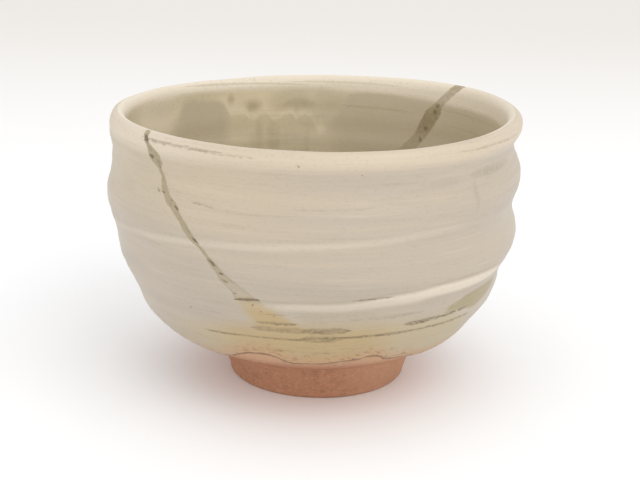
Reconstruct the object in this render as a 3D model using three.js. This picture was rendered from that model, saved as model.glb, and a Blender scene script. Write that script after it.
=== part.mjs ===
// A hand-thrown tea bowl on a turned foot ring: clay thrown, trimmed and fired as one piece.
// Millimetres, +Z up, with the front towards -Y and angles counted from +X.
// The origin is on the table, under the middle of the bowl.
import * as THREE from 'three';
import { mergeVertices } from 'three/addons/utils/BufferGeometryUtils.js';

// Driving dimensions of the turned section, as [radius, height] where they come in pairs.
const RIM_HEIGHT = 83.7;
const LIP_OUTER_RADIUS = 62;
const LIP_WIDTH = 4.8;
const LIP_ROUND_HEIGHT = 3.6;
const OUTER_WALL = [
  [39.0, 14.2], [46.6, 18.4], [52.0, 24.3], [55.9, 31], [58.3, 37], [60.3, 44],
  [61.5, 50], [61.9, 57], [62.0, 64], [61.3, 70], [61.0, 75],
];
const INNER_WALL = [[57.0, 72], [57.1, 60], [56.3, 48], [53.4, 37], [47.4, 27.5], [38, 20.2], [22, 15.3]];
const FLOOR_HEIGHT = 14;
const FOOT_RADIUS = 27.5;
const FOOT_TOP_RADIUS = 30.8;
const FOOT_HEIGHT = 10.6;
const FOOT_RING_WIDTH = 6;
const FOOT_EDGE = 0.6;
const RECESS_RADIUS = 19;
const RECESS_HEIGHT = 6;
const RECESS_CROWN = 0.8;

// The finger ridge climbs the outside as one long screw thread, deepest at the bowl's two sides.
const RIDGE_PITCH = 18;
const RIDGE_CREST_HEIGHT = 66.3;
const RIDGE_CREST_ANGLE = THREE.MathUtils.degToRad(-9);
const RIDGE_DEPTH_FRONT = 0.25;
const RIDGE_DEPTH_SIDE = 0.72;
const RIDGE_DEPTH_LEAN = 0.12;
const RIDGE_FADE_IN = [18, 28];
const RIDGE_FADE_OUT = [76, 82];

// The lower wall was pared down with a trimming tool, which left a shallow step across the front.
// Its reach is given as cosines of the angle from its middle: where it has gone, and where it is whole.
const STEP_HEIGHT = 41.3;
const STEP_DEPTH = 0.5;
const STEP_SOFTNESS = 1.2;
const STEP_ANGLE = THREE.MathUtils.degToRad(-58);
const STEP_REACH = [0.15, 0.75];

// Hand work: the rim leans and sways, and the foot was cut a little off the centre of the wall.
// The shifts lie towards +X, and each span of heights leads from one shift to the next.
const RIM_LEAN = 0.0157;
const RIM_SWAY = 0.55;
const RIM_SWAY_ANGLE = THREE.MathUtils.degToRad(25);
const RIM_LEAN_START = 25;
const FOOT_SHIFT = 2.1;
const BELLY_SHIFT = 0.35;
const WALL_SHIFT = -0.4;
const FOOT_TO_BELLY = [7, 15];
const BELLY_TO_WALL = [42, 53];
const WALL_TO_RIM = [76, 82];

// Facets: steps round the bowl, and rows along each stretch of the section.
const TURN_STEPS = 72;
const RECESS_ROWS = 3;
const FOOT_SIDE_ROWS = 3;
const OUTER_ROWS = 34;
const LIP_ROWS = 7;
const INNER_ROWS = 15;

const { smoothstep } = THREE.MathUtils;
const point = ([radius, height]) => new THREE.Vector2(radius, height);
const rise = (value, [low, high]) => smoothstep(value, low, high);
const fall = (value, span) => 1 - rise(value, span);

// The section runs from the axis under the foot, out and up the wall, over the lip and back to the axis.
function bowlSection() {
  const ringInside = FOOT_RADIUS - FOOT_RING_WIDTH;
  const recessMiddle = point([0, RECESS_HEIGHT + RECESS_CROWN]);
  const recessCorner = point([RECESS_RADIUS, RECESS_HEIGHT]);
  const footTop = point([FOOT_TOP_RADIUS, FOOT_HEIGHT]);
  const lipStart = point([LIP_OUTER_RADIUS, RIM_HEIGHT - LIP_ROUND_HEIGHT]);
  const lipEnd = point([LIP_OUTER_RADIUS - LIP_WIDTH, RIM_HEIGHT - LIP_ROUND_HEIGHT]);
  const floorMiddle = point([0, FLOOR_HEIGHT]);

  const recess = new THREE.LineCurve(recessMiddle, recessCorner);
  const ringFace = [
    [ringInside, FOOT_EDGE], [ringInside + FOOT_EDGE, 0],
    [FOOT_RADIUS - FOOT_EDGE, 0], [FOOT_RADIUS, FOOT_EDGE],
  ].map(point);
  const footSide = new THREE.LineCurve(ringFace.at(-1), footTop);
  const outside = new THREE.SplineCurve([footTop, ...OUTER_WALL.map(point), lipStart]);
  const lip = new THREE.EllipseCurve(
    LIP_OUTER_RADIUS - LIP_WIDTH / 2, lipStart.y, LIP_WIDTH / 2, LIP_ROUND_HEIGHT, 0, Math.PI,
  );
  const inside = new THREE.SplineCurve([lipEnd, ...INNER_WALL.map(point), floorMiddle]);

  const under = [...recess.getPoints(RECESS_ROWS), ...ringFace];
  under.push(...footSide.getPoints(FOOT_SIDE_ROWS).slice(1));
  const outer = outside.getSpacedPoints(OUTER_ROWS).slice(1);
  const over = lip.getPoints(LIP_ROWS).slice(1);
  const inner = inside.getSpacedPoints(INNER_ROWS).slice(1);
  // The section ends exactly on the axis, so that the turned skin closes there.
  inner.at(-1).x = 0;
  return { rows: [...under, ...outer, ...over, ...inner], outerRows: under.length + outer.length };
}

// How far the finger ridge and the trimming step move the outside wall, outwards.
function handMarks(angle, height) {
  const sideDepth = RIDGE_DEPTH_SIDE + RIDGE_DEPTH_LEAN * Math.cos(angle);
  const depth = THREE.MathUtils.lerp(RIDGE_DEPTH_FRONT, sideDepth, Math.cos(angle) ** 4);
  const phase = (2 * Math.PI * (height - RIDGE_CREST_HEIGHT)) / RIDGE_PITCH - (angle - RIDGE_CREST_ANGLE);
  const onWall = rise(height, RIDGE_FADE_IN);
  const ridge = depth * Math.cos(phase) * onWall * fall(height, RIDGE_FADE_OUT);
  const pared = fall(height, [STEP_HEIGHT - STEP_SOFTNESS, STEP_HEIGHT + STEP_SOFTNESS]) * onWall;
  const front = rise(Math.cos(angle - STEP_ANGLE), STEP_REACH);
  return ridge - STEP_DEPTH * pared * front;
}

// How far the middle of the bowl lies towards +X at a height.
function centreShift(height) {
  const belly = THREE.MathUtils.lerp(FOOT_SHIFT, BELLY_SHIFT, rise(height, FOOT_TO_BELLY));
  const wall = THREE.MathUtils.lerp(belly, WALL_SHIFT, rise(height, BELLY_TO_WALL));
  return wall * fall(height, WALL_TO_RIM);
}

// Turns the section round the axis, then presses the hand marks and the leaning rim into its skin.
function bowlGeometry() {
  const { rows, outerRows } = bowlSection();
  const turned = new THREE.LatheGeometry(rows, TURN_STEPS).rotateX(Math.PI / 2);
  turned.deleteAttribute('normal');
  turned.deleteAttribute('uv');
  const skin = turned.getAttribute('position');
  for (let i = 0; i < skin.count; i += 1) {
    const height = skin.getZ(i);
    const angle = Math.atan2(skin.getY(i), skin.getX(i));
    const isOuter = i % rows.length < outerRows;
    const radius = Math.hypot(skin.getX(i), skin.getY(i)) + (isOuter ? handMarks(angle, height) : 0);
    const lean = RIM_LEAN * radius * Math.cos(angle) + RIM_SWAY * Math.cos(2 * (angle - RIM_SWAY_ANGLE));
    const lifted = height + lean * rise(height, [RIM_LEAN_START, RIM_HEIGHT]);
    skin.setXYZ(i, radius * Math.cos(angle) + centreShift(height), radius * Math.sin(angle), lifted);
  }
  return withoutSlivers(mergeVertices(turned));
}

// The turned skin folds to a point at each end of the axis; those flat triangles are dropped.
function withoutSlivers(geometry) {
  const corners = geometry.getIndex().array;
  const kept = [];
  for (let i = 0; i < corners.length; i += 3) {
    const [a, b, c] = corners.slice(i, i + 3);
    if (a !== b && b !== c && c !== a) kept.push(a, b, c);
  }
  geometry.setIndex(kept);
  geometry.computeVertexNormals();
  return geometry;
}

const glazedClay = new THREE.MeshStandardMaterial({ color: 0xcdc2ad, roughness: 0.5, metalness: 0 });
const bowl = new THREE.Mesh(bowlGeometry(), glazedClay);
bowl.name = 'tea_bowl';

const teaBowl = new THREE.Group();
teaBowl.add(bowl);

export default teaBowl;
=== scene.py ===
# %% [markdown]
# # A hand-thrown tea bowl
#
# The bowl was thrown on a wheel from one lump of clay. Its lower wall and foot were trimmed once the
# clay had stiffened, and the bowl was dipped in a cream glaze, one side after the other, and fired.
# This lesson loads the bowl's solid, turns a finer skin for it with Geometry Nodes, and paints
# that skin with one procedural material.

# %% Load the solid's frame
import math

import bpy
from mathutils import Matrix, Vector


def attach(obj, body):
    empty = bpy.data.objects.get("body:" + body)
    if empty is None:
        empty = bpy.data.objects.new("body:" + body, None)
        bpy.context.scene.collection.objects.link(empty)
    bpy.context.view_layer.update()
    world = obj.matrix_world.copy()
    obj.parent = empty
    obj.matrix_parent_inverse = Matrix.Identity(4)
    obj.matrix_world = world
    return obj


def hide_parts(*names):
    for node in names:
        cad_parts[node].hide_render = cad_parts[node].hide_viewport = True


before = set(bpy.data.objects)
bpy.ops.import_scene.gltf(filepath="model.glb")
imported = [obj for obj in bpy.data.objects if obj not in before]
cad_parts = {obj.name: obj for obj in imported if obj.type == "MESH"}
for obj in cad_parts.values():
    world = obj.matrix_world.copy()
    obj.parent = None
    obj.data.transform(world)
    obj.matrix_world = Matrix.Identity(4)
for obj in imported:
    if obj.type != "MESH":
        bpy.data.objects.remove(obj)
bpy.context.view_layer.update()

# %% [markdown]
# ## The turned section
#
# A wheel-thrown bowl is a section swung round an axis. The section could be drawn as a curve and spun
# with a Screw modifier, but the hand marks come later as sums on angle and height, so here it is only a
# row of points: from the middle of the foot, out and up the wall, over the lip and down to the middle of
# the floor. Sizes are in millimetres, as a potter would measure them.

# %% Sizes of the section
MILLIMETRE = 0.001
RIM_HEIGHT = 83.7
LIP_OUTER_RADIUS = 62
LIP_WIDTH = 4.8
LIP_ROUND_HEIGHT = 3.6
OUTER_WALL = [
    (39.0, 14.2), (46.6, 18.4), (52.0, 24.3), (55.9, 31), (58.3, 37), (60.3, 44),
    (61.5, 50), (61.9, 57), (62.0, 64), (61.3, 70), (61.0, 75),
]
INNER_WALL = [(57.0, 72), (57.1, 60), (56.3, 48), (53.4, 37), (47.4, 27.5), (38, 20.2), (22, 15.3)]
FLOOR_HEIGHT = 14
FOOT_RADIUS = 27.5
FOOT_TOP = (30.8, 10.6)
FOOT_RING_WIDTH = 6
FOOT_EDGE = 0.6
RECESS_CORNER = (19, 6)
RECESS_MIDDLE = (0, 6.8)


# %% Helpers that space points along the section
def even_rows(path, rows):
    """Points at equal lengths along a path of many short lines, without its first point."""
    lengths = [0]
    for start, end in zip(path, path[1:]):
        lengths.append(lengths[-1] + math.dist(start, end))
    spaced = []
    piece = 0
    for row in range(1, rows + 1):
        along = lengths[-1] * row / rows
        while piece < len(path) - 2 and lengths[piece + 1] < along:
            piece += 1
        share = (along - lengths[piece]) / (lengths[piece + 1] - lengths[piece])
        start, end = path[piece], path[piece + 1]
        spaced.append(tuple(a + (b - a) * share for a, b in zip(start, end)))
    return spaced


def smooth_path(knots, steps=24):
    """A Catmull-Rom curve through the knots, as many short lines."""
    ends = [knots[0], *knots, knots[-1]]
    path = [knots[0]]
    for before, start, end, after in zip(ends, ends[1:], ends[2:], ends[3:]):
        for step in range(1, steps + 1):
            t = step / steps
            path.append(tuple(
                b + 0.5 * t * ((c - a) + t * ((2 * a - 5 * b + 4 * c - d) + t * (3 * (b - c) + d - a)))
                for a, b, c, d in zip(before, start, end, after)
            ))
    return path


# %% Draw the section
RECESS_ROWS = 10
RING_ROWS = 14
FOOT_SIDE_ROWS = 16
OUTER_ROWS = 112
LIP_ROWS = 20
INNER_ROWS = 48

ring_inside = FOOT_RADIUS - FOOT_RING_WIDTH
ring_face = [
    RECESS_CORNER, (ring_inside, FOOT_EDGE), (ring_inside + FOOT_EDGE, 0),
    (FOOT_RADIUS - FOOT_EDGE, 0), (FOOT_RADIUS, FOOT_EDGE),
]
lip_middle = (LIP_OUTER_RADIUS - LIP_WIDTH / 2, RIM_HEIGHT - LIP_ROUND_HEIGHT)
lip_turns = [math.pi * row / LIP_ROWS for row in range(LIP_ROWS + 1)]
lip = [
    (lip_middle[0] + LIP_WIDTH / 2 * math.cos(turn), lip_middle[1] + LIP_ROUND_HEIGHT * math.sin(turn))
    for turn in lip_turns
]
outside = smooth_path([FOOT_TOP, *OUTER_WALL, lip[0]])
inside = smooth_path([lip[-1], *INNER_WALL, (0, FLOOR_HEIGHT)])

section = [RECESS_MIDDLE]
section += even_rows([RECESS_MIDDLE, RECESS_CORNER], RECESS_ROWS)
section += even_rows(ring_face, RING_ROWS)
section += even_rows([ring_face[-1], FOOT_TOP], FOOT_SIDE_ROWS)
section += even_rows(outside, OUTER_ROWS)
outer_rows = len(section)
section += lip[1:]
section += even_rows(inside, INNER_ROWS)
section[-1] = (0, FLOOR_HEIGHT)
print("section:", len(section), "rows, of which", outer_rows, "are outside")

# %% [markdown]
# ## A workbench for nodes
#
# Both the shape and the finish are sums over angle and height. Node trees for sums are long to write
# by hand, so a small bench lays the nodes: a Field stands for one socket and adds and multiplies like
# a number. The same node types work in Geometry Nodes and in a material, so one bench serves both.


# %% The node bench
class Field:
    """One socket of a tree that adds, subtracts and multiplies like a number."""

    def __init__(self, bench, socket):
        self.bench = bench
        self.socket = socket

    def __add__(self, other):
        return self.bench.math("ADD", self, other)

    def __sub__(self, other):
        return self.bench.math("SUBTRACT", self, other)

    def __rsub__(self, other):
        return self.bench.math("SUBTRACT", other, self)

    def __mul__(self, other):
        return self.bench.math("MULTIPLY", self, other)

    def __truediv__(self, other):
        return self.bench.math("DIVIDE", self, other)

    __radd__ = __add__
    __rmul__ = __mul__


class Bench:
    """Lays nodes in one tree and hands their results back as fields."""

    def __init__(self, tree):
        self.tree = tree

    def node(self, kind, **settings):
        """A new node of this kind, with its settings."""
        node = self.tree.nodes.new(kind)
        for name, value in settings.items():
            setattr(node, name, value)
        return node

    def feed(self, socket, value):
        """Links a field to an input socket, or sets a plain value on it."""
        if isinstance(value, Field):
            self.tree.links.new(value.socket, socket)
        else:
            socket.default_value = value

    def run(self, node, *values):
        """Feeds the node's inputs in order and gives its first result."""
        for socket, value in zip(node.inputs, values):
            self.feed(socket, value)
        return Field(self, node.outputs[0])

    def math(self, operation, *values):
        """One sum of a Math node."""
        return self.run(self.node("ShaderNodeMath", operation=operation), *values)

    def rise(self, value, low, high, bottom=0.0, top=1.0):
        """A soft step from bottom to top while the value goes from low to high."""
        node = self.node("ShaderNodeMapRange", interpolation_type="SMOOTHSTEP")
        return self.run(node, value, low, high, bottom, top)

    def between(self, value, first_edge, last_edge):
        """One between two soft edges, each given as where the mark has gone and where it is whole."""
        return self.rise(value, *first_edge) * self.rise(value, *last_edge)

    def blend(self, share, start, end):
        """The start where the share is 0 and the end where it is 1."""
        return start + (end - start) * share

    def vector(self, x, y, z):
        """Three fields joined into a vector."""
        return self.run(self.node("ShaderNodeCombineXYZ"), x, y, z)

    def parts(self, vector):
        """The x, y and z of a vector, as three fields."""
        node = self.node("ShaderNodeSeparateXYZ")
        self.feed(node.inputs[0], vector)
        return [Field(self, socket) for socket in node.outputs]

    def scaled(self, vector, factor):
        """The vector, made longer or shorter by a factor."""
        node = self.node("ShaderNodeVectorMath", operation="SCALE")
        self.feed(node.inputs[0], vector)
        self.feed(node.inputs["Scale"], factor)
        return Field(self, node.outputs[0])

    def stretched(self, place, across, up):
        """The place in millimetres, scaled alike round the bowl and apart from that upwards."""
        node = self.node("ShaderNodeVectorMath", operation="MULTIPLY")
        return self.run(node, place, (across, across, up))

    def noise(self, vector, detail=2.0, roughness=0.5):
        """Soft noise from about -1 to 1, with one swell about every unit of the vector."""
        node = self.node("ShaderNodeTexNoise")
        self.feed(node.inputs["Vector"], vector)
        node.inputs["Scale"].default_value = 1
        node.inputs["Detail"].default_value = detail
        node.inputs["Roughness"].default_value = roughness
        return Field(self, node.outputs[0]) * 4 - 2

    def curve(self, value, knots):
        """A smooth line through given knots, each where it is and what it gives."""
        low, high = knots[0][0], knots[-1][0]
        bottom = min(gives for _, gives in knots)
        span = max(gives for _, gives in knots) - bottom
        node = self.node("ShaderNodeFloatCurve")
        line = node.mapping.curves[0]
        placed = [((at - low) / (high - low), (gives - bottom) / span) for at, gives in knots]
        line.points[0].location = placed[0]
        line.points[1].location = placed[-1]
        for share_along, share_up in placed[1:-1]:
            line.points.new(share_along, share_up)
        for knot in line.points:
            knot.handle_type = "AUTO_CLAMPED"
        node.mapping.update()
        share = (value - low) / (high - low)
        return self.run(node, 1.0, share) * span + bottom

    def tell(self, made):
        """Prints what was made and how long the tree is by then."""
        print(made + ":", len(self.tree.nodes), "nodes laid so far")


# %% [markdown]
# ## Where the glaze lies
#
# The glaze went on in two pours. They left a slanting gap across the front left of the wall, and a wavy
# edge low down where the bare clay begins. The gap is a groove as well as a colour, so its line is set
# here once, as knots read along the bowl, and both trees use it. Angles are in degrees, counted from
# the right-hand side, with the front at minus 90.

# %% Lines of the gap and of the glaze's edge
LENGTH_OF_DEGREE = 2 * math.pi * LIP_OUTER_RADIUS / 360
# By height: the angle of the gap's middle, then its half width in millimetres.
GAP_ANGLE = [
    (33.8, -99.8), (36.1, -102.2), (38.9, -104.8), (41.4, -107.3), (43.3, -108.9), (45.9, -111.8),
    (48.3, -113.9), (51, -116.2), (52.7, -117.5), (54.8, -119.4), (56.5, -121.3), (59, -123.2),
    (61.8, -125.3), (63.5, -126.8), (65, -128.2), (66.4, -129.5), (68, -130.8), (69.4, -131.5),
    (72.6, -133.1), (75.9, -134.4), (77.2, -134.9), (79.4, -136.3), (81, -138.4), (83.5, -139.9),
]
GAP_HALF_WIDTH = [
    (33.8, 6.8), (36.1, 5.1), (38.9, 4.1), (41.4, 3.2), (43.3, 2.5), (45.9, 2.1), (48.3, 1.3), (51, 1.0),
    (52.7, 0.55), (54.8, 0.55), (56.5, 1.1), (61.8, 1.1), (63.5, 1.15), (65, 1.9), (66.4, 1.5), (68, 1.15),
    (69.4, 1.05), (71, 0.8), (72.6, 0.6), (74.6, 1.0), (75.9, 2.1), (77.2, 2.3), (79.4, 1.5), (81, 0.9),
    (83.5, 0.9),
]
# By angle: the height of the glaze's lower edge.
GLAZE_EDGE = [
    (-180, 17), (-150, 16.4), (-130, 17), (-120.7, 18.3), (-114, 20.8), (-108, 22.3), (-104.5, 22.5),
    (-101.7, 22), (-99.5, 21), (-97, 19.8), (-93, 19.4), (-89, 19.4), (-83, 20.2), (-78, 20.7),
    (-73, 21.2), (-70, 22.1), (-67, 21.8), (-63, 19.7), (-59.5, 19.5), (-54.8, 19), (-35, 17.4),
    (0, 18.4), (40, 16.8), (75, 19), (110, 17.2), (150, 18.6), (180, 17),
]
GAP_RAGGED = 0.3
GAP_SOFTNESS = 0.4
GAP_FADE_IN = (38, 42)
EDGE_RAGGED = 0.35


def angle_and_height(bench, place):
    """The angle round the bowl in degrees and the height of a place in millimetres."""
    x, y, height = bench.parts(place)
    angle = bench.math("DEGREES", bench.math("ARCTAN2", y, x))
    return angle, height


def past_gap(bench, place, angle, height):
    """How far a place lies outside the gap between the two pours, in millimetres; below zero inside it."""
    aside = bench.math("ABSOLUTE", angle - bench.curve(height, GAP_ANGLE))
    ragged = bench.noise(bench.stretched(place, 0.5, 0.5), detail=3.0)
    return aside * LENGTH_OF_DEGREE - bench.curve(height, GAP_HALF_WIDTH) - ragged * GAP_RAGGED


def glaze_gap(bench, place, angle, height):
    """One inside the gap between the two pours, and zero outside it."""
    past = past_gap(bench, place, angle, height)
    return bench.rise(past, GAP_SOFTNESS, -GAP_SOFTNESS) * bench.rise(height, *GAP_FADE_IN)


def bare_depth(bench, place, angle, height):
    """How far below the glaze's edge a place lies, in millimetres."""
    ragged = bench.noise(bench.stretched(place, 0.35, 0.35), detail=3.0)
    return bench.curve(angle, GLAZE_EDGE) + ragged * EDGE_RAGGED - height


print("gap:", len(GAP_ANGLE), "knots; glaze's edge:", len(GLAZE_EDGE), "knots")

# %% [markdown]
# ## The bowl's skin
#
# One tree turns the section: a Grid has a column for each step round and a row for each point of the
# section, and Sample Index looks the point up. The finger ridge climbs the wall as one long screw
# thread, the lower front was pared back by a trimming tool, the rim leans a little and the foot is off
# centre. Those marks are the tree's named inputs. A second Set Position then presses the fine relief
# along the normals: throwing lines, the groove of the gap, the thickness of the glaze and the lip's line.

# %% Named inputs of the tree
HAND_SIZES = {
    "Steps round": 436,
    "Ridge pitch": 18.0,
    "Ridge crest height": 66.3,
    "Ridge crest angle": -9.0,
    "Ridge depth in front": 0.25,
    "Ridge depth at the sides": 0.72,
    "Ridge depth lean": 0.12,
    "Step height": 41.3,
    "Step depth": 0.5,
    "Step softness": 1.0,
    "Step angle": -58.0,
    "Rim lean": 0.0157,
    "Rim sway": 0.55,
    "Rim sway angle": 25.0,
    "Foot shift": 2.1,
    "Belly shift": 0.35,
    "Wall shift": -0.4,
    "Glaze thickness": 0.3,
    "Throwing lines": 0.07,
    "Throwing swells": 0.38,
    "Seed": 7.0,
}

tree = bpy.data.node_groups.new("turned_bowl", "GeometryNodeTree")
tree.interface.new_socket("Geometry", in_out="INPUT", socket_type="NodeSocketGeometry")
tree.interface.new_socket("Geometry", in_out="OUTPUT", socket_type="NodeSocketGeometry")
identifiers = {}
for name, size in HAND_SIZES.items():
    kind = "NodeSocketInt" if isinstance(size, int) else "NodeSocketFloat"
    socket = tree.interface.new_socket(name, in_out="INPUT", socket_type=kind)
    socket.default_value = size
    identifiers[name] = socket.identifier

bench = Bench(tree)
group_in = bench.node("NodeGroupInput")
group_out = bench.node("NodeGroupOutput")
size_of = {name: Field(bench, group_in.outputs[name]) for name in HAND_SIZES}
print("tree inputs:", ", ".join(HAND_SIZES))

# %% The grid, and each point's place in the section
ROWS = len(section)
grid = bench.node("GeometryNodeMeshGrid")
bench.feed(grid.inputs["Vertices X"], size_of["Steps round"] + 1)
grid.inputs["Vertices Y"].default_value = ROWS
index = bench.run(bench.node("GeometryNodeInputIndex"))
row = bench.math("FLOORED_MODULO", index, ROWS)
column = bench.math("FLOOR", (index + 0.5) / ROWS)
turn = column / size_of["Steps round"] * math.tau - math.pi


def looked_up(kind, value):
    """A value of the section's point that belongs to each point of the grid."""
    node = bench.node("GeometryNodeSampleIndex", data_type=kind)
    bench.tree.links.new(group_in.outputs["Geometry"], node.inputs["Geometry"])
    bench.feed(node.inputs["Value"], value)
    bench.feed(node.inputs["Index"], row)
    return Field(bench, node.outputs[0])


def marked_inside():
    """The number that each point carries: zero outside, one inside, and rising over the lip."""
    node = bench.node("GeometryNodeInputNamedAttribute", data_type="FLOAT")
    node.inputs["Name"].default_value = "inside"
    return Field(bench, node.outputs[0])


section_place = looked_up("FLOAT_VECTOR", bench.run(bench.node("GeometryNodeInputPosition")))
is_inside = looked_up("FLOAT", marked_inside())
base_radius, _, base_height = bench.parts(section_place)
bench.tell("grid")

# %% The hand marks: ridge, pared step, lean and shifts
RIDGE_FADE_IN = (18, 28)
RIDGE_FADE_OUT = (76, 82)
STEP_REACH = (0.15, 0.75)
RIM_LEAN_START = 25
FOOT_TO_BELLY = (7, 15)
BELLY_TO_WALL = (42, 53)
WALL_TO_RIM = (76, 82)
LAST_OUTSIDE = 0.02
SIDE_SHARPNESS = 4.0

cosine = bench.math("COSINE", turn)
on_outside = bench.rise(is_inside, LAST_OUTSIDE, 0)
on_wall = bench.rise(base_height, *RIDGE_FADE_IN)
side_depth = size_of["Ridge depth at the sides"] + size_of["Ridge depth lean"] * cosine
sideways = bench.math("POWER", bench.math("ABSOLUTE", cosine), SIDE_SHARPNESS)
depth = bench.blend(sideways, size_of["Ridge depth in front"], side_depth)
climb = (base_height - size_of["Ridge crest height"]) / size_of["Ridge pitch"] * math.tau
phase = climb - turn + bench.math("RADIANS", size_of["Ridge crest angle"])
fading = on_wall * bench.rise(base_height, RIDGE_FADE_OUT[1], RIDGE_FADE_OUT[0])
ridge = depth * bench.math("COSINE", phase) * fading

step_top = size_of["Step height"] + size_of["Step softness"]
step_foot = size_of["Step height"] - size_of["Step softness"]
pared = bench.rise(base_height, step_top, step_foot) * on_wall
from_step = bench.math("COSINE", turn - bench.math("RADIANS", size_of["Step angle"]))
step = size_of["Step depth"] * pared * bench.rise(from_step, *STEP_REACH)
radius = base_radius + (ridge - step) * on_outside

sway_turn = (turn - bench.math("RADIANS", size_of["Rim sway angle"])) * 2
lean = size_of["Rim lean"] * radius * cosine + size_of["Rim sway"] * bench.math("COSINE", sway_turn)
lifted = base_height + lean * bench.rise(base_height, RIM_LEAN_START, RIM_HEIGHT)
belly = bench.blend(bench.rise(base_height, *FOOT_TO_BELLY), size_of["Foot shift"], size_of["Belly shift"])
wall = bench.blend(bench.rise(base_height, *BELLY_TO_WALL), belly, size_of["Wall shift"])
shift = wall * bench.rise(base_height, WALL_TO_RIM[1], WALL_TO_RIM[0])
turned = bench.vector(radius * cosine + shift, radius * bench.math("SINE", turn), lifted)
bench.tell("hand marks")

# %% Set the turned places, and close the seam and the two poles
SEAM_GAP = 0.00002


def chain(kind, geometry, settings=None, **values):
    """A node that takes a geometry in and hands one on."""
    node = bench.node(kind, **(settings or {}))
    bench.tree.links.new(geometry, node.inputs[0])
    for name, value in values.items():
        bench.feed(node.inputs[name], value)
    return node.outputs[0]


skin = chain("GeometryNodeStoreNamedAttribute", grid.outputs["Mesh"],
             {"data_type": "FLOAT", "domain": "POINT"}, Name="inside", Value=is_inside)
skin = chain("GeometryNodeSetPosition", skin, Position=bench.scaled(turned, MILLIMETRE))
skin = chain("GeometryNodeMergeByDistance", skin, Distance=SEAM_GAP)
bench.tell("turned skin")

# %% Sizes of the fine relief
WOBBLE_DEPTH = 0.18
SWELL_HEIGHTS = ((24, 34), (80, 74))
CLAY_LINE_GAIN = 0.6
GAP_DEPTH_SHARE = 0.8
LIP_LINE_HEIGHT = 81.6
LIP_LINE_EDGE = (0.6, 0.1)
LIP_LINE_DEPTH = 0.16
RING_PITCH = 9
RING_HEIGHTS = ((16, 24), (74, 64))
RING_DEPTH = 0.22
INNER_LINE_DEPTH = 0.06
FOOT_FACE_FADE = (0.3, 1.2)
INSIDE_EDGE = (0.4, 0.6)
BARE_EDGE = (-0.1, 0.5)
SEED_SPACING = 100
# By angle: the height of the bead's top, its width, and how much of it is there.
BEAD_TOP = [(-112, 41), (-101, 40.7), (-93, 41.2), (-85, 41.3), (-77, 42), (-69.5, 43.1), (-61, 43.7),
            (-51, 44.4), (-43, 44.4), (-29, 44.1)]
BEAD_WIDTH = [(-112, 2.0), (-80, 2.6), (-60, 3.6), (-40, 3.6), (-29, 2.6)]
BEAD_FADE = [(-112, 0), (-101, 0.55), (-93, 1), (-36, 1), (-22, 0)]
BEAD_TOP_EDGE = (-0.5, 0.8)
BEAD_FOOT_EDGE = (1.3, -1.1)
BEAD_THICKNESS = 0.42


def glaze_bead(bench, angle, height):
    """One on the roll of thick glaze that lies along the pared step, and zero off it."""
    below = bench.curve(angle, BEAD_TOP) - height
    width = bench.curve(angle, BEAD_WIDTH)
    roll = bench.rise(below, *BEAD_TOP_EDGE) * bench.rise(below - width, *BEAD_FOOT_EDGE)
    return roll * bench.curve(angle, BEAD_FADE)


# %% Fine relief, pressed along the normals
place = bench.scaled(bench.run(bench.node("GeometryNodeInputPosition")), 1 / MILLIMETRE)
angle, height = angle_and_height(bench, place)
inner = bench.rise(marked_inside(), *INSIDE_EDGE)
outer = 1 - inner

seeded_node = bench.node("ShaderNodeVectorMath", operation="ADD")
seeded = bench.run(seeded_node, place, bench.vector(0.0, 0.0, size_of["Seed"] * SEED_SPACING))
wobble = bench.noise(bench.stretched(seeded, 0.03, 0.03), detail=1.0) * WOBBLE_DEPTH
lines = bench.noise(bench.stretched(seeded, 0.012, 0.5), detail=3.0, roughness=0.6)
swells = bench.noise(bench.stretched(seeded, 0.009, 0.15), detail=1.5)
bare = bench.rise(bare_depth(bench, place, angle, height), *BARE_EDGE)
gap = glaze_gap(bench, place, angle, height)
lip_line = bench.rise(bench.math("ABSOLUTE", height - LIP_LINE_HEIGHT), *LIP_LINE_EDGE)
ring_turn = bench.math("RADIANS", angle) + height * (math.tau / RING_PITCH)
rings = bench.math("COSINE", ring_turn) * bench.between(height, *RING_HEIGHTS)
outer_relief = (
    lines * size_of["Throwing lines"] * (1 + bare * CLAY_LINE_GAIN)
    + swells * size_of["Throwing swells"] * bench.between(height, *SWELL_HEIGHTS)
    - bare * size_of["Glaze thickness"]
    - gap * size_of["Glaze thickness"] * GAP_DEPTH_SHARE
    + glaze_bead(bench, angle, height) * BEAD_THICKNESS
    - lip_line * LIP_LINE_DEPTH
)
inner_relief = rings * RING_DEPTH + lines * INNER_LINE_DEPTH
off_table = bench.rise(height, *FOOT_FACE_FADE)
relief = (outer_relief * outer + inner_relief * inner + wobble) * off_table * MILLIMETRE
normal = bench.run(bench.node("GeometryNodeInputNormal"))
skin = chain("GeometryNodeSetPosition", skin, Offset=bench.scaled(normal, relief))
bench.tell("fine relief")

# %% [markdown]
# ## The finish
#
# All of the looks sit in one material on object coordinates. The base is a matt cream that is warmer at
# the lip and upper left. Low on the wall the glaze is thin, so the clay tints it ochre in front
# and olive to the right. On that lie the marks of the firing: the grey gap with dark pinholes, a
# bead along the pared step and thin brown streaks that the brush and the trimming tool left. Some light
# and shade is painted in as well: a highlight on the bead and on a ridge above it, a shadow line just
# above the bead, shade below it, a paler left and a darker right inner wall, and light on the bare clay
# at the right. Each coat goes over the one before, and its strength says how well it covers. Noise runs
# from about minus one to one, so a rise over it picks out its high or its low swells.


# %% Helpers for the finish
STREAK_EDGE = (1.25, 0.35)
STREAK_THINNEST = 0.001
SPOT_EDGE = 1.75


def linear(red, green, blue):
    """A colour as screens show it, from 0 to 255, turned into the light it gives back."""
    return (*[((value / 255 + 0.055) / 1.055) ** 2.4 for value in (red, green, blue)], 1.0)


def object_place(bench):
    """Where a point lies on its object, in metres."""
    return Field(bench, bench.node("ShaderNodeTexCoord").outputs["Object"])


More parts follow.
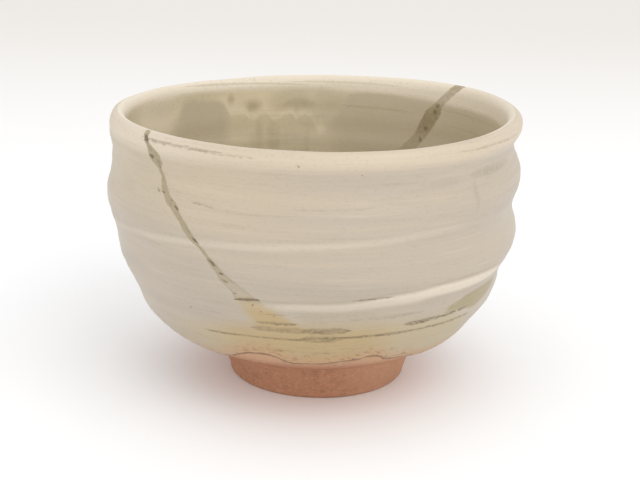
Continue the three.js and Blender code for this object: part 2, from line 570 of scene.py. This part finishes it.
def tinted(bench, colour, share, paint):
    """The colour, covered by a paint where the share is one."""
    node = bench.node("ShaderNodeMix", data_type="RGBA")
    bench.feed(node.inputs[0], share)
    bench.feed(node.inputs[6], colour)
    bench.feed(node.inputs[7], paint)
    return Field(bench, node.outputs[2])


def streak(bench, angle, height, middle, reach, level, slope, half):
    """A thin mark round the bowl: darkest in its middle and pointed at both ends."""
    aside = angle - middle
    share = aside / reach
    body = bench.math("MAXIMUM", 1 - share * share * share * share, STREAK_THINNEST)
    off = bench.math("ABSOLUTE", height - level - aside * slope) / half
    return bench.rise(off / body, *STREAK_EDGE)


def spot(bench, angle, height, middle, level, half, tall=1.0, core=0.5):
    """A round pinhole or blotch, as wide as twice its half size, with a firm core of that share."""
    across = (angle - middle) * LENGTH_OF_DEGREE
    up = (height - level) / tall
    off = bench.math("SQRT", across * across + up * up) / half
    return bench.rise(off, SPOT_EDGE - core, core)


def strongest(bench, marks):
    """The strongest of several marks, each given as a field and how dark it is."""
    shades = [mark * dark for mark, dark in marks]
    shade = shades[0]
    for other in shades[1:]:
        shade = bench.math("MAXIMUM", shade, other)
    return shade


def streaks(bench, angle, height, marks):
    """Several streaks, each a row of numbers that ends with how dark it is."""
    shaded = [(streak(bench, angle, height, *mark), dark) for *mark, dark in marks]
    return strongest(bench, shaded)


def spots(bench, angle, height, marks, core=0.5):
    """Several spots, each a row of numbers that ends with how dark it is."""
    shaded = [(spot(bench, angle, height, *mark, core=core), dark) for *mark, dark in marks]
    return strongest(bench, shaded)


# %% Start the material: where each point lies
INSIDE_PAINT_EDGE = (0.45, 0.55)

material = bpy.data.materials.new("glazed_clay")
material.use_nodes = True
finish = Bench(material.node_tree)
shader = material.node_tree.nodes["Principled BSDF"]
place = finish.scaled(object_place(finish), 1 / MILLIMETRE)
angle, height = angle_and_height(finish, place)
side = finish.node("ShaderNodeAttribute", attribute_name="inside")
inner = finish.rise(Field(finish, side.outputs["Fac"]), *INSIDE_PAINT_EDGE)


def mottle(across, up, detail, roughness=0.5):
    """Noise on the bowl with so many swells in a millimetre, across and up."""
    return finish.noise(finish.stretched(place, across, up), detail, roughness)


def coat(under, share, colour, strength=1.0):
    """A colour over what lies under it: where the share is one, and as strongly as told."""
    return tinted(finish, under, share * strength, colour)


cloud = mottle(0.022, 0.03, detail=3.0)
drift = mottle(0.05, 0.16, detail=4.0)
grain = mottle(0.9, 1.6, detail=3.0, roughness=0.65)
threads = mottle(0.03, 1.1, detail=4.0, roughness=0.65)
swayed = height + drift * 0.6
finish.tell("places and mottling")

# %% The cream glaze of the wall and the lip
CREAM = linear(180, 168, 152)
CREAM_GREY = linear(174, 163, 149)
CREAM_WARM = linear(188, 174, 150)
LIP_CREAM = linear(198, 184, 163)
THREAD_GREY = linear(162, 151, 134)
THREAD_PALE = linear(203, 191, 173)
PALE_CREAM_AND_HIGHLIGHT = linear(212, 200, 182)
LIP_BAND = (76.5, 80.5)
LIP_LEFT = (-110, -140)
UPPER_WALL = (48, 74)
LEFT_ANGLES = ((-178, -150), (-70, -120))

bands = mottle(0.01, 0.14, detail=3.0)
paint = coat(CREAM, finish.rise(cloud * 0.6 + bands, -0.3, 0.9), CREAM_GREY)
paint = coat(paint, finish.rise(bands - cloud * 0.5, 0.1, -0.9), CREAM_WARM, strength=0.35)
upper_left = finish.rise(height, *UPPER_WALL) * finish.between(angle, *LEFT_ANGLES)
paint = coat(paint, upper_left, CREAM_WARM, strength=0.8)
lip_share = finish.rise(swayed, *LIP_BAND)
paint = coat(paint, lip_share, LIP_CREAM)
lip_left = lip_share * finish.between(angle, LEFT_ANGLES[0], LIP_LEFT)
paint = coat(paint, lip_left, PALE_CREAM_AND_HIGHLIGHT, strength=0.6)
paint = coat(paint, finish.rise(threads, 0.15, 1.1), THREAD_GREY, strength=0.3)
paint = coat(paint, finish.rise(threads, -0.15, -1.1), THREAD_PALE, strength=0.3)
finish.tell("cream glaze")

# %% The thin glaze low down, ochre in front and olive to the right, and painted shade under the bead
# By angle: the height up to which the glaze is thin, then how ochre it is there.
THIN_TOP = [
    (-180, 15), (-140, 26), (-125, 30), (-115, 32), (-105, 33), (-95, 33.5), (-50, 33.5), (-42, 32),
    (-33, 26), (-20, 21), (0, 19), (60, 18), (180, 15),
]
OCHRE_SHARE = [
    (-180, 0.1), (-135, 0.15), (-118, 0.5), (-106, 0.9), (-84, 1), (-68, 0.55), (-50, 0.15),
    (60, 0.1), (180, 0.1),
]
OLIVE = linear(180, 167, 140)
OCHRE = linear(177, 155, 115)
BLUSH = linear(188, 150, 112)
SPILL_HEIGHTS = ((28, 32), (44, 39))
THINNER_BEHIND = (150, 108, 0.35, 1.0)
BEAD_UNDERSIDE_SHADE = (42, 38)
BEAD_UNDERSIDE_SHADE_ANGLES = ((-105, -85), (-50, -75))

thin_below = finish.curve(angle, THIN_TOP) - swayed + threads * 0.9
spill = finish.rise(past_gap(finish, place, angle, height) + drift * 1.5, 3.0, -2.4)
spill = spill * finish.between(height, *SPILL_HEIGHTS)
behind = finish.rise(finish.math("ABSOLUTE", angle), *THINNER_BEHIND)
thin = finish.math("MAXIMUM", finish.rise(thin_below, -3.5, 3.5) * behind, spill)
# Painted shade: olive laid on the band just below the bead, whose lower side faces down.
bead_underside_shade = finish.rise(swayed, *BEAD_UNDERSIDE_SHADE) * finish.between(angle, *BEAD_UNDERSIDE_SHADE_ANGLES)
paint = coat(paint, bead_underside_shade, OLIVE, strength=0.4)
low_paint = coat(OLIVE, finish.curve(angle, OCHRE_SHARE), OCHRE)
edge_below = bare_depth(finish, place, angle, height)
blush = finish.rise(edge_below + drift, -5.0, -0.5)
low_paint = coat(low_paint, blush, BLUSH, strength=0.7)
paint = coat(paint, thin, low_paint)
finish.tell("thin glaze")

# %% The bead along the step with its painted highlight and shadow, the olive wedge below it and a painted ridge highlight
WEDGE_OLIVE = linear(156, 143, 108)
GAP_EDGE_AND_SHADE = linear(148, 134, 105)
# By angle: the heights of the wedge's top, its foot and the painted highlight on the ridge.
WEDGE_TOP = [(-50, 34), (-46.9, 36), (-42.9, 37), (-38.6, 38.1), (-25, 38.4), (-16, 36.8)]
WEDGE_FOOT = [(-50, 33.8), (-40, 33.2), (-34, 31.9), (-29, 32.8), (-19, 36.2), (-16, 36.8)]
RIDGE_HIGHLIGHT_LINE = [(-165, 51.5), (-140, 54), (-120, 56), (-100, 57.5), (-80, 58.8), (-60, 60), (-40, 61)]
RIDGE_HIGHLIGHT_ANGLES = ((-170, -150), (-40, -70))
WEDGE_ANGLES = ((-50, -46), (-16, -24))
BEAD_PALER = (-90, -55, 0.5, 0.95)
BEAD_SHADE_DROP = 0.6

# The bead's pale cream is partly the thick glaze and partly a painted highlight on its lit top, stronger
# towards the right.
bead = glaze_bead(finish, angle, height) * finish.rise(angle, *BEAD_PALER)
paint = coat(paint, bead, PALE_CREAM_AND_HIGHLIGHT)
# Painted shadow: a thin dark line just above the bead's top.
below_bead = finish.curve(angle, BEAD_TOP) - height
bead_shade = finish.rise(finish.math("ABSOLUTE", below_bead + BEAD_SHADE_DROP), 0.8, 0.1)
paint = coat(paint, bead_shade * finish.curve(angle, BEAD_FADE), GAP_EDGE_AND_SHADE, strength=0.18)
wedge = finish.rise(finish.curve(angle, WEDGE_TOP) - height, -0.4, 0.6)
wedge = wedge * finish.rise(height - finish.curve(angle, WEDGE_FOOT), -0.4, 0.8)
wedge = wedge * finish.between(angle, *WEDGE_ANGLES)
wedge = wedge * finish.rise(threads + drift, 0.9, -0.6, 0.65, 1.0)
paint = coat(paint, wedge, WEDGE_OLIVE)
# Painted highlight: a pale line on the ridge's upper flank, where it faces the light.
ridge_highlight_off = finish.math("ABSOLUTE", height - finish.curve(angle, RIDGE_HIGHLIGHT_LINE))
ridge_highlight = finish.rise(ridge_highlight_off, 1.6, 0.2) * finish.between(angle, *RIDGE_HIGHLIGHT_ANGLES)
paint = coat(paint, ridge_highlight, PALE_CREAM_AND_HIGHLIGHT, strength=0.35)
finish.tell("bead, wedge and ridge")

# %% Brown streaks of the trimming tool and the firing
STREAK_BROWN = linear(106, 92, 64)
DARK_BROWN = linear(92, 78, 54)
# Each: middle angle, reach in degrees, height, rise for each degree, half thickness, darkness.
STREAKS = [
    (-99.5, 6.2, 34.4, 0.03, 0.5, 0.85), (-102.5, 5, 32.2, 0.0, 1.0, 0.5), (-96, 5, 32.2, 0.0, 1.1, 0.5),
    (-86, 7.5, 32.4, 0.02, 1.2, 0.75), (-87, 6.5, 29.6, 0.02, 1.3, 0.75),
    (-112, 13, 28.7, 0.05, 0.45, 0.75), (-96, 10, 29.2, 0.03, 0.45, 0.75),
    (-70, 19, 30.3, 0.012, 0.55, 0.9), (-48, 13, 30.5, 0.0, 0.5, 0.85),
    (-58, 5, 33.0, 0.0, 0.85, 1), (-53, 4, 33.2, 0.0, 0.7, 1), (-46.5, 3.2, 33.3, 0.0, 0.65, 1),
    (-40.5, 2.4, 33.3, 0.0, 0.55, 0.9),
    (-68, 12, 36.2, 0.01, 0.6, 0.25), (-83, 12, 36.8, 0.0, 2.0, 0.12), (-101, 4, 37.2, 0.0, 0.3, 0.35),
    (-74, 5.6, 42.7, 0.06, 0.35, 0.7),
    (-102, 10, 66.1, 0.03, 0.3, 0.15), (-118.5, 4, 66.9, -0.11, 0.4, 0.4),
    (-85, 12, 68.2, 0.03, 0.3, 0.18),
    (-90, 5, 26.4, 0.0, 0.3, 0.3), (-86, 4, 24.6, 0.0, 0.3, 0.3), (-78, 5, 26.0, 0.0, 0.3, 0.25),
    (-127, 14, 81.6, 0.0, 0.55, 0.6), (-112, 8, 81.2, 0.0, 0.3, 0.35), (-36, 16, 81.7, 0.0, 0.4, 0.35),
    (-34, 12, 74.2, 0.0, 1.6, 0.2),
]
# Each: middle angle, height, half size, height over width, darkness.
SPOTS = [
    (-94, 79.8, 0.35, 1, 0.6), (-78.5, 77.5, 0.3, 1, 0.5), (-126, 35, 0.45, 0.7, 0.5),
    (-133.4, 68, 0.5, 0.8, 0.55), (-105.8, 39.6, 0.4, 0.7, 0.8), (-103.5, 37.9, 0.35, 0.7, 0.7),
    (-100, 36.6, 0.35, 0.7, 0.5),
]
SMUDGES = [
    (-34.7, 74, 7, 0.22, 0.5), (-54.5, 73.2, 6, 0.2, 0.4), (-43.4, 68.4, 1.0, 4.2, 0.7),
    (-68, 70, 9, 0.12, 0.25), (-150, 66.5, 7, 0.25, 0.35), (-147, 52.5, 12, 0.12, 0.35),
    (-152, 44, 10, 0.15, 0.3), (-143, 76, 5, 0.2, 0.25),
]
# The same, but with millimetres to the right of the gap's middle in place of the angle.
GAP_SPOTS = [
    (0, 81.5, 0.95, 1.1, 0.9), (-1.5, 77, 0.75, 0.9, 0.9), (0.1, 74.6, 0.45, 1.1, 0.6),
    (-0.8, 67.9, 0.45, 0.8, 0.85), (-2.4, 68.2, 0.8, 0.9, 0.3), (0.8, 66.3, 0.5, 0.6, 0.55),
    (0.9, 64.5, 0.65, 1.1, 0.95), (0.3, 56.6, 0.65, 1.3, 0.95), (-0.1, 50.9, 0.65, 1.6, 0.95),
    (-0.1, 48.2, 0.8, 0.45, 0.95), (-1.1, 46, 0.6, 0.9, 0.6), (-2.1, 42.8, 0.6, 0.5, 0.55),
    (0.6, 75.9, 0.6, 1.2, 0.35), (-0.6, 79.2, 0.5, 1.5, 0.3), (0.6, 59, 0.3, 4, 0.3),
    (-0.9, 65.2, 0.4, 1.5, 0.3),
]
# One dash beside the gap: as a streak, without its darkness.
DASH = (-107.2, 3.8, 41.2, 0.1, 0.55)
print("marks:", len(STREAKS), "streaks,", len(SPOTS) + len(GAP_SPOTS), "pinholes,", len(SMUDGES), "smudges")

# %% Lay the streaks and smudges
scuffed = mottle(0.6, 1.1, detail=4.0, roughness=0.7)
scratches = mottle(0.22, 2.2, detail=4.0, roughness=0.7)
worn = finish.rise(scratches + scuffed * 0.6, -0.8, 0.4, 0.4, 1.0)
waved = height + threads * 0.2 + scuffed * 0.25
brown = streaks(finish, angle, waved, STREAKS)
smudges = spots(finish, angle + drift, height + drift, SMUDGES, core=0.2)
paint = coat(paint, smudges, THREAD_GREY, strength=0.7)
broken = finish.rise(grain + scuffed * 0.4, -0.7, 0.4, 0.4, 1.0)
paint = coat(paint, brown * worn * broken, STREAK_BROWN)
paint = coat(paint, streak(finish, angle, waved, *DASH), DARK_BROWN, strength=0.9)
loose = finish.rise(scratches + threads * 0.6 + drift * 0.4, 0.6, 1.5) * thin
paint = coat(paint, loose, STREAK_BROWN, strength=0.5)
glints = finish.rise(threads - drift * 0.4, -0.5, -1.1) * thin
paint = coat(paint, glints, CREAM_WARM, strength=0.35)
finish.tell("streaks and smudges")

# %% The gap between the two pours, with its pinholes
GAP_GREY = linear(158, 145, 118)
GAP_GREY_RISE = (41, 52, 0.15, 0.9)
GAP_RIM_RISE = (39, 42)
GAP_MOTTLE_RISE = (40, 47)

gap = glaze_gap(finish, place, angle, height)
# A share times its rest is a quarter at most, so four times that is one along the gap's rim.
gap_rim = gap * (1 - gap) * 4
paint = coat(paint, gap * finish.rise(height, *GAP_GREY_RISE), GAP_GREY)
paint = coat(paint, gap_rim * finish.rise(height, *GAP_RIM_RISE), GAP_EDGE_AND_SHADE, strength=0.5)
crumbled = mottle(0.8, 0.8, detail=3.0, roughness=0.7)
mottled = finish.rise(crumbled + drift * 0.4, 0.0, 0.8) * gap * finish.rise(height, *GAP_MOTTLE_RISE)
paint = coat(paint, mottled, GAP_EDGE_AND_SHADE, strength=0.5)
warped = mottle(0.4, 0.4, detail=1.0)
spot_angle = angle + warped * 0.5
spot_height = height + crumbled * 0.3
pinholes = spots(finish, spot_angle, spot_height, SPOTS)
paint = coat(paint, pinholes, DARK_BROWN, strength=0.85)
along_gap = spot_angle - finish.curve(height, GAP_ANGLE)
gap_marks = [(right / LENGTH_OF_DEGREE, *mark) for right, *mark in GAP_SPOTS]
gap_holes = spots(finish, along_gap, spot_height, gap_marks)
paint = coat(paint, gap_holes, DARK_BROWN, strength=0.85)
finish.tell("gap and pinholes")

# %% [markdown]
# ## The inside
#
# Inside, the cream runs in a band below the lip and then thins in drips, so the lower wall shows a darker
# olive grey with a scalloped top. At the right a bare stripe slants down the wall. One curve gives the
# top of the dark glaze by its angle, and upright noise makes the runs below it.

# %% Colours and lines of the inside
INNER_CREAM = linear(221, 210, 191)
INNER_LIGHT = linear(197, 186, 160)
INNER_DARK = linear(189, 177, 153)
INNER_OCHRE = linear(219, 205, 174)
INNER_BLOTCH = linear(166, 152, 121)
DRIP_CREAM = linear(224, 212, 188)
STRIPE_OLIVE = linear(148, 133, 101)
# By angle: the height where the dark glaze begins, then how softly it does.
DARK_TOP = [
    (-180, 70), (3, 79), (60, 79.6), (72, 79.2), (77, 78), (80, 75), (83, 70), (86, 66), (88.6, 63.6),
    (90.5, 67.5), (93, 69.3), (95, 69.6), (96.8, 67.9), (99.3, 70), (102, 69.5), (104.9, 67.9),
    (108.2, 70.8), (110.6, 69.2), (112.5, 68.4), (114.3, 69.4), (118.4, 71), (120.5, 70.6), (122, 72.4),
    (124.2, 75.2), (128.2, 76.4), (133, 76.9), (137.4, 77.4), (140, 76.6), (142, 73), (145, 70), (150, 67),
    (165, 66), (180, 70),
]
DRIP_SOFTNESS = [
    (-180, 2), (60, 1.2), (77, 1.2), (82, 2.6), (87, 2.4), (90, 1), (118, 1), (124, 1.4), (139, 1.6),
    (144, 3.5), (180, 2),
]
# By height: the stripe's angle, its half width in degrees and how dark it is.
STRIPE_LINE = [(57, 58.5), (61, 56), (67, 51), (72, 48), (77, 45), (83, 39), (86, 36.5)]
STRIPE_HALF = [
    (57, 3.4), (62, 3), (66, 2.6), (70, 3), (74, 3.2), (75.6, 2.9), (77, 2.2), (80, 2), (84, 2.2),
]
STRIPE_SHADE = [(57, 0.35), (62, 0.5), (66, 0.65), (69, 0.95), (75, 1), (77, 0.75), (80, 0.6), (84, 0.95)]
# Each: middle angle, height, half size, height over width, darkness.
STRIPE_SPOTS = [
    (44.5, 77.3, 0.9, 1, 0.5), (45.5, 75.2, 0.9, 1, 0.5), (49, 69, 0.9, 1, 0.5), (51.3, 64.7, 0.9, 1, 0.5),
]
INNER_SPOTS = [
    (112.5, 73.5, 3.2, 0.7, 0.8), (120.7, 76, 1.3, 1.2, 0.6), (97, 73.6, 8, 0.24, 0.7),
    (86, 74.2, 5, 0.5, 0.5), (103, 75.5, 4, 0.4, 0.35), (152, 75.4, 6, 0.35, 0.4),
]
# One long drop: as a spot, without its darkness.
LONG_DROP = (88.4, 65.2, 1.7, 1.3)
# Each: middle angle, reach in degrees, height, rise for each degree, half thickness, darkness.
INNER_STREAKS = [
    (116, 24, 81, 0.03, 0.4, 0.4), (80, 22, 81.6, -0.01, 0.35, 0.3), (30, 22, 76.5, 0.0, 0.4, 0.3),
    (26, 16, 71.5, 0.0, 0.4, 0.3), (68, 14, 73.6, 0.0, 0.5, 0.35),
]
INNER_LIP_BAND = (77.6, 80.2)
UPPER_INSIDE = (32, 58)
BACK_PALER = 0.72
BACK_ANGLES = ((80, 90), (125, 119))
RUN_ANGLES = ((70, 84), (140, 120))
DRIP_ANGLES = ((88, 93), (128, 120))
LIT_INNER_LEFT_ANGLES = ((139, 152), (178, 160))
SHADED_INNER_RIGHT_ANGLES = ((-60, 0), (50, 20))
print("inside:", len(DARK_TOP), "knots along its drips")

# %% Paint the inner wall and its drips
runs = mottle(0.16, 0.02, detail=2.0)
inner_paint = coat(INNER_LIGHT, finish.rise(cloud + drift * 0.6, -0.6, 0.6), INNER_OCHRE, strength=0.7)
blotches = spots(finish, angle + runs, height + drift, INNER_SPOTS, core=0.0)
inner_paint = coat(inner_paint, blotches, INNER_BLOTCH)
above_drip = height - finish.curve(angle, DARK_TOP) - runs * 0.4 - drift * 0.6
soft_drip = above_drip / finish.curve(angle, DRIP_SOFTNESS)
upper = finish.rise(height, *UPPER_INSIDE)
back = finish.between(angle, *BACK_ANGLES) * upper
darkened = finish.math("MAXIMUM", finish.rise(soft_drip, 1.0, -1.0), 1 - upper) * (1 - back * BACK_PALER)
inner_paint = coat(inner_paint, darkened, INNER_DARK)
pale_runs = finish.rise(runs + drift * 0.4, 0.1, 1.0) * finish.between(angle, *RUN_ANGLES) * upper
inner_paint = coat(inner_paint, pale_runs, INNER_LIGHT, strength=0.5)
dark_runs = finish.rise(runs + drift * 0.5, 0.1, -1.1) * finish.rise(above_drip, 0.5, -1.5) * back
inner_paint = coat(inner_paint, dark_runs, INNER_BLOTCH, strength=0.45)
drop = spot(finish, angle, height, *LONG_DROP, core=0.1)
inner_paint = coat(inner_paint, drop, DRIP_CREAM, strength=0.5)
drip_rim = finish.rise(above_drip, -0.9, 0.7) * finish.rise(above_drip + drift, 3.6, 0.8)
drip_rim = drip_rim * finish.between(angle, *DRIP_ANGLES)
drip_rim = drip_rim * finish.rise(runs + drift, -0.8, 0.8, 0.15, 0.5)
inner_paint = coat(inner_paint, drip_rim, DRIP_CREAM)
finish.tell("inner wall and drips")

# %% Paint the inner lip, the painted light and shade of the side walls, lines and stripe
inner_paint = coat(inner_paint, finish.rise(threads, 0.2, 1.2), INNER_BLOTCH, strength=0.14)
inner_paint = coat(inner_paint, finish.rise(height + drift * 0.7, *INNER_LIP_BAND), INNER_CREAM)
# Painted light on the left inner wall, which faces the light, and painted shade on the right inner wall.
lit_inner_left = finish.between(angle, *LIT_INNER_LEFT_ANGLES) * upper
inner_paint = coat(inner_paint, lit_inner_left, INNER_CREAM, strength=0.5)
shaded_inner_right = finish.between(angle, *SHADED_INNER_RIGHT_ANGLES) * upper
inner_paint = coat(inner_paint, shaded_inner_right, INNER_BLOTCH, strength=0.18)
inner_paint = coat(inner_paint, streaks(finish, angle, waved, INNER_STREAKS), INNER_BLOTCH)
stripe_off = finish.math("ABSOLUTE", angle - finish.curve(height, STRIPE_LINE))
stripe_past = stripe_off + scuffed * 0.35 - finish.curve(height, STRIPE_HALF)
stripe = finish.rise(stripe_past, 0.5, -0.5) * finish.curve(height, STRIPE_SHADE)
stripe = stripe * finish.rise(crumbled + drift * 0.5, 0.8, -0.6, 0.72, 1.0)
inner_paint = coat(inner_paint, stripe, STRIPE_OLIVE)
stripe_holes = spots(finish, spot_angle, spot_height, STRIPE_SPOTS)
inner_paint = coat(inner_paint, stripe_holes, DARK_BROWN)
paint = coat(paint, inner, inner_paint)
finish.tell("whole inside")

# %% [markdown]
# ## Bare clay and sheen
#
# Below the glaze's edge the clay is bare: pinkish on the belly, browner on the foot and grainy all over,
# with rust in the thin glaze just above it. The glaze has a soft sheen and the clay almost none. A small
# bump adds the sandiness that is too fine for the mesh.

# %% The bare clay of the belly and the foot
RUST = linear(142, 104, 70)
CLAY_PINK = linear(191, 153, 122)
CLAY_BROWN = linear(175, 124, 94)
CLAY_PALE = linear(198, 156, 125)
EDGE_BROWN = linear(122, 88, 62)
FOOT_SHADE = (20.5, 15.5)
BARE_PAINT_EDGE = (-0.1, 0.25)
RUST_ANGLES = ((-125, -105), (-30, -60))
LIT_CLAY_ANGLES = ((-85, -40), (60, 0))

on_outer = 1 - inner
bare = finish.rise(edge_below, *BARE_PAINT_EDGE) * on_outer
rust = finish.rise(crumbled + scratches * 0.7, 0.1, 0.85) * finish.rise(edge_below + drift, -6.5, -1.5)
rust = rust * on_outer * finish.between(angle, *RUST_ANGLES)
paint = coat(paint, rust, RUST, strength=0.9)
clay = coat(CLAY_PINK, finish.rise(height + drift, *FOOT_SHADE), CLAY_BROWN)
clay = coat(clay, finish.rise(grain + threads * 0.5, 0.1, -1.0), CLAY_PALE, strength=0.5)
clay = coat(clay, finish.rise(grain + crumbled * 0.5, 0.3, 1.1), EDGE_BROWN, strength=0.4)
clay = coat(clay, finish.rise(crumbled - grain * 0.3, 0.5, 1.0), EDGE_BROWN, strength=0.55)
clay = coat(clay, finish.rise(drift + warped, 0.1, 1.2), EDGE_BROWN, strength=0.25)
# Painted light: the bare clay is paler on the right, where the light falls.
clay = coat(clay, finish.between(angle, *LIT_CLAY_ANGLES), CLAY_PALE, strength=0.4)
paint = coat(paint, bare, clay)
edge_line = finish.rise(finish.math("ABSOLUTE", edge_below), 0.65, 0.15) * on_outer
paint = coat(paint, edge_line, EDGE_BROWN, strength=0.8)
finish.tell("bare clay")

# %% Sheen, sandiness and the last wiring
GLAZE_ROUGHNESS = 0.42
CLAY_ROUGHNESS = 0.85
ROUGHNESS_SWAY = 0.05
BUMP_DISTANCE = 0.0002
BUMP_STRENGTH = 0.5
GAP_DULLNESS = 0.6
# How much the threads show outside and inside, and the grain on glaze and on clay.
THREAD_BUMP = (0.35, 0.1)
GRAIN_BUMP = (0.12, 0.8)

speckle = finish.rise(grain + threads * 0.3, 0.0, 1.5) * (1 - bare)
paint = coat(paint, speckle, GAP_EDGE_AND_SHADE, strength=0.35)
finish.feed(shader.inputs["Base Color"], paint)
dull = finish.math("MAXIMUM", bare, gap * on_outer * GAP_DULLNESS)
sheen = GLAZE_ROUGHNESS + drift * ROUGHNESS_SWAY
finish.feed(shader.inputs["Roughness"], finish.blend(dull, sheen, CLAY_ROUGHNESS + grain * ROUGHNESS_SWAY))
bump = finish.node("ShaderNodeBump")
bump.inputs["Distance"].default_value = BUMP_DISTANCE
bump.inputs["Strength"].default_value = BUMP_STRENGTH
surface = threads * finish.blend(inner, *THREAD_BUMP) + grain * finish.blend(bare, *GRAIN_BUMP)
finish.feed(bump.inputs["Height"], surface)
finish.feed(shader.inputs["Normal"], Field(finish, bump.outputs[0]))
finish.tell("finish")

# %% [markdown]
# ## Turn the tree into a plain mesh
#
# The section's points carry one number, whether they are outside or inside. The tree ends in Realize
# Instances and Set Material. The evaluated result is copied into a plain mesh, so the finished bowl has
# no modifier left and sits at the origin. There it takes the place of the solid.

# %% Finish the tree and make the bowl
LEAST_ON_LIP = 0.03

skin = chain("GeometryNodeSetShadeSmooth", skin)
skin = chain("GeometryNodeRealizeInstances", skin)
skin = chain("GeometryNodeSetMaterial", skin, Material=material)
tree.links.new(skin, group_out.inputs[0])

section_mesh = bpy.data.meshes.new("bowl_section")
section_mesh.from_pydata([(r, 0, z) for r, z in section], [], [])
inside_mark = section_mesh.attributes.new("inside", "FLOAT", "POINT")
lip_crest = outer_rows + LIP_ROWS // 2 - 1
for row_number, mark in enumerate(inside_mark.data):
    past_crest = (row_number - lip_crest) / (LIP_ROWS // 2) + 0.5
    mark.value = 0.0 if row_number < outer_rows else min(max(past_crest, LEAST_ON_LIP), 1.0)

maker = bpy.data.objects.new("bowl_maker", section_mesh)
bpy.context.scene.collection.objects.link(maker)
modifier = maker.modifiers.new("Turned bowl", "NODES")
modifier.node_group = tree
for name, size in HAND_SIZES.items():
    modifier[identifiers[name]] = size

depsgraph = bpy.context.evaluated_depsgraph_get()
bowl_mesh = bpy.data.meshes.new_from_object(maker.evaluated_get(depsgraph), depsgraph=depsgraph)
maker.modifiers.clear()
bpy.data.objects.remove(maker)
bowl_mesh.name = "tea_bowl_skin"
bowl = bpy.data.objects.new("tea_bowl_skin", bowl_mesh)
bpy.context.scene.collection.objects.link(bowl)
bowl_mesh.calc_loop_triangles()
volume = sum(
    bowl_mesh.vertices[t.vertices[0]].co.dot(
        bowl_mesh.vertices[t.vertices[1]].co.cross(bowl_mesh.vertices[t.vertices[2]].co))
    for t in bowl_mesh.loop_triangles
) / 6
print("bowl:", len(bowl_mesh.loop_triangles), "triangles, clay", round(volume * 1e6, 1), "cubic cm")

# %% Put the bowl in the solid's place
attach(bowl, "root")
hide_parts("tea_bowl")

# %% [markdown]
# ## Floor, light and camera
#
# The floor is one wide pale sheet, a little greyer behind, so that it fills the picture behind the bowl
# too. Soft light comes from a pale sky all round, from a large panel high at the front right and from a
# smaller card at the left. The camera looks down on the bowl a little, from as near as the wide ellipse
# of the rim asks for.

# %% Floor
FLOOR_REACH = 6
FLOOR_FADE = (0.05, 0.9)
FLOOR_FRONT = linear(246, 247, 249)
FLOOR_BACK = linear(232, 229, 225)
FLOOR_ROUGHNESS = 0.8

floor_mesh = bpy.data.meshes.new("floor")
corners = [(-FLOOR_REACH, -FLOOR_REACH, 0), (FLOOR_REACH, -FLOOR_REACH, 0),
           (FLOOR_REACH, FLOOR_REACH, 0), (-FLOOR_REACH, FLOOR_REACH, 0)]
floor_mesh.from_pydata(corners, [], [(0, 1, 2, 3)])
floor = bpy.data.objects.new("floor", floor_mesh)
bpy.context.scene.collection.objects.link(floor)
floor_paint = bpy.data.materials.new("pale_floor")
floor_paint.use_nodes = True
floor_shader = floor_paint.node_tree.nodes["Principled BSDF"]
floor_bench = Bench(floor_paint.node_tree)
_, floor_back, _ = floor_bench.parts(object_place(floor_bench))
floor_shade = tinted(floor_bench, FLOOR_FRONT, floor_bench.rise(floor_back, *FLOOR_FADE), FLOOR_BACK)
floor_bench.feed(floor_shader.inputs["Base Color"], floor_shade)
floor_shader.inputs["Roughness"].default_value = FLOOR_ROUGHNESS
floor_mesh.materials.append(floor_paint)
print("floor:", 2 * FLOOR_REACH, "metres wide")

# %% Light
SKY_COLOUR = (1, 0.99, 0.98, 1)
SKY_STRENGTH = 1.01
PANEL_COLOUR = (1, 0.995, 0.98)
PANEL_POWER = 3.2
PANEL_SIZE = 0.9
PANEL_PLACE = (0.5, -0.6, 0.68)
CARD_POWER = 0.8
CARD_SIZE = 0.6
CARD_PLACE = (-0.65, -0.45, 0.35)

world = bpy.data.worlds.new("pale_sky")
bpy.context.scene.world = world
world.use_nodes = True
sky = world.node_tree.nodes["Background"]
sky.inputs["Color"].default_value = SKY_COLOUR
sky.inputs["Strength"].default_value = SKY_STRENGTH


def soft_panel(name, power, size, stand):
    """A square panel of light that faces the bowl."""
    light = bpy.data.lights.new(name, "AREA")
    light.energy = power
    light.size = size
    light.color = PANEL_COLOUR
    panel = bpy.data.objects.new(name, light)
    bpy.context.scene.collection.objects.link(panel)
    panel.location = stand
    panel.rotation_euler = Vector(stand).to_track_quat("Z", "Y").to_euler()


soft_panel("panel", PANEL_POWER, PANEL_SIZE, PANEL_PLACE)
soft_panel("card", CARD_POWER, CARD_SIZE, CARD_PLACE)
bpy.context.scene.view_settings.view_transform = "Standard"
print("light: sky", SKY_STRENGTH, "with a panel of", PANEL_POWER, "W and a card of", CARD_POWER, "W")

# %% Camera
CAMERA_PLACE = (0, -0.38843, 0.1585)
CAMERA_PITCH = 0.2923
CAMERA_ROLL = 0.0282
CAMERA_YAW = 0.0055
FOCAL_LENGTH = 73.125
SENSOR_WIDTH = 36

camera_data = bpy.data.cameras.new("camera")
camera_data.lens = FOCAL_LENGTH
camera_data.sensor_width = SENSOR_WIDTH
camera = bpy.data.objects.new("camera", camera_data)
bpy.context.scene.collection.objects.link(camera)
turned_view = Matrix.Rotation(-CAMERA_YAW, 4, "Z") @ Matrix.Rotation(math.pi / 2 - CAMERA_PITCH, 4, "X")
camera.matrix_world = Matrix.Translation(CAMERA_PLACE) @ turned_view @ Matrix.Rotation(CAMERA_ROLL, 4, "Z")
bpy.context.scene.camera = camera
print("camera:", FOCAL_LENGTH, "mm lens at", CAMERA_PLACE)
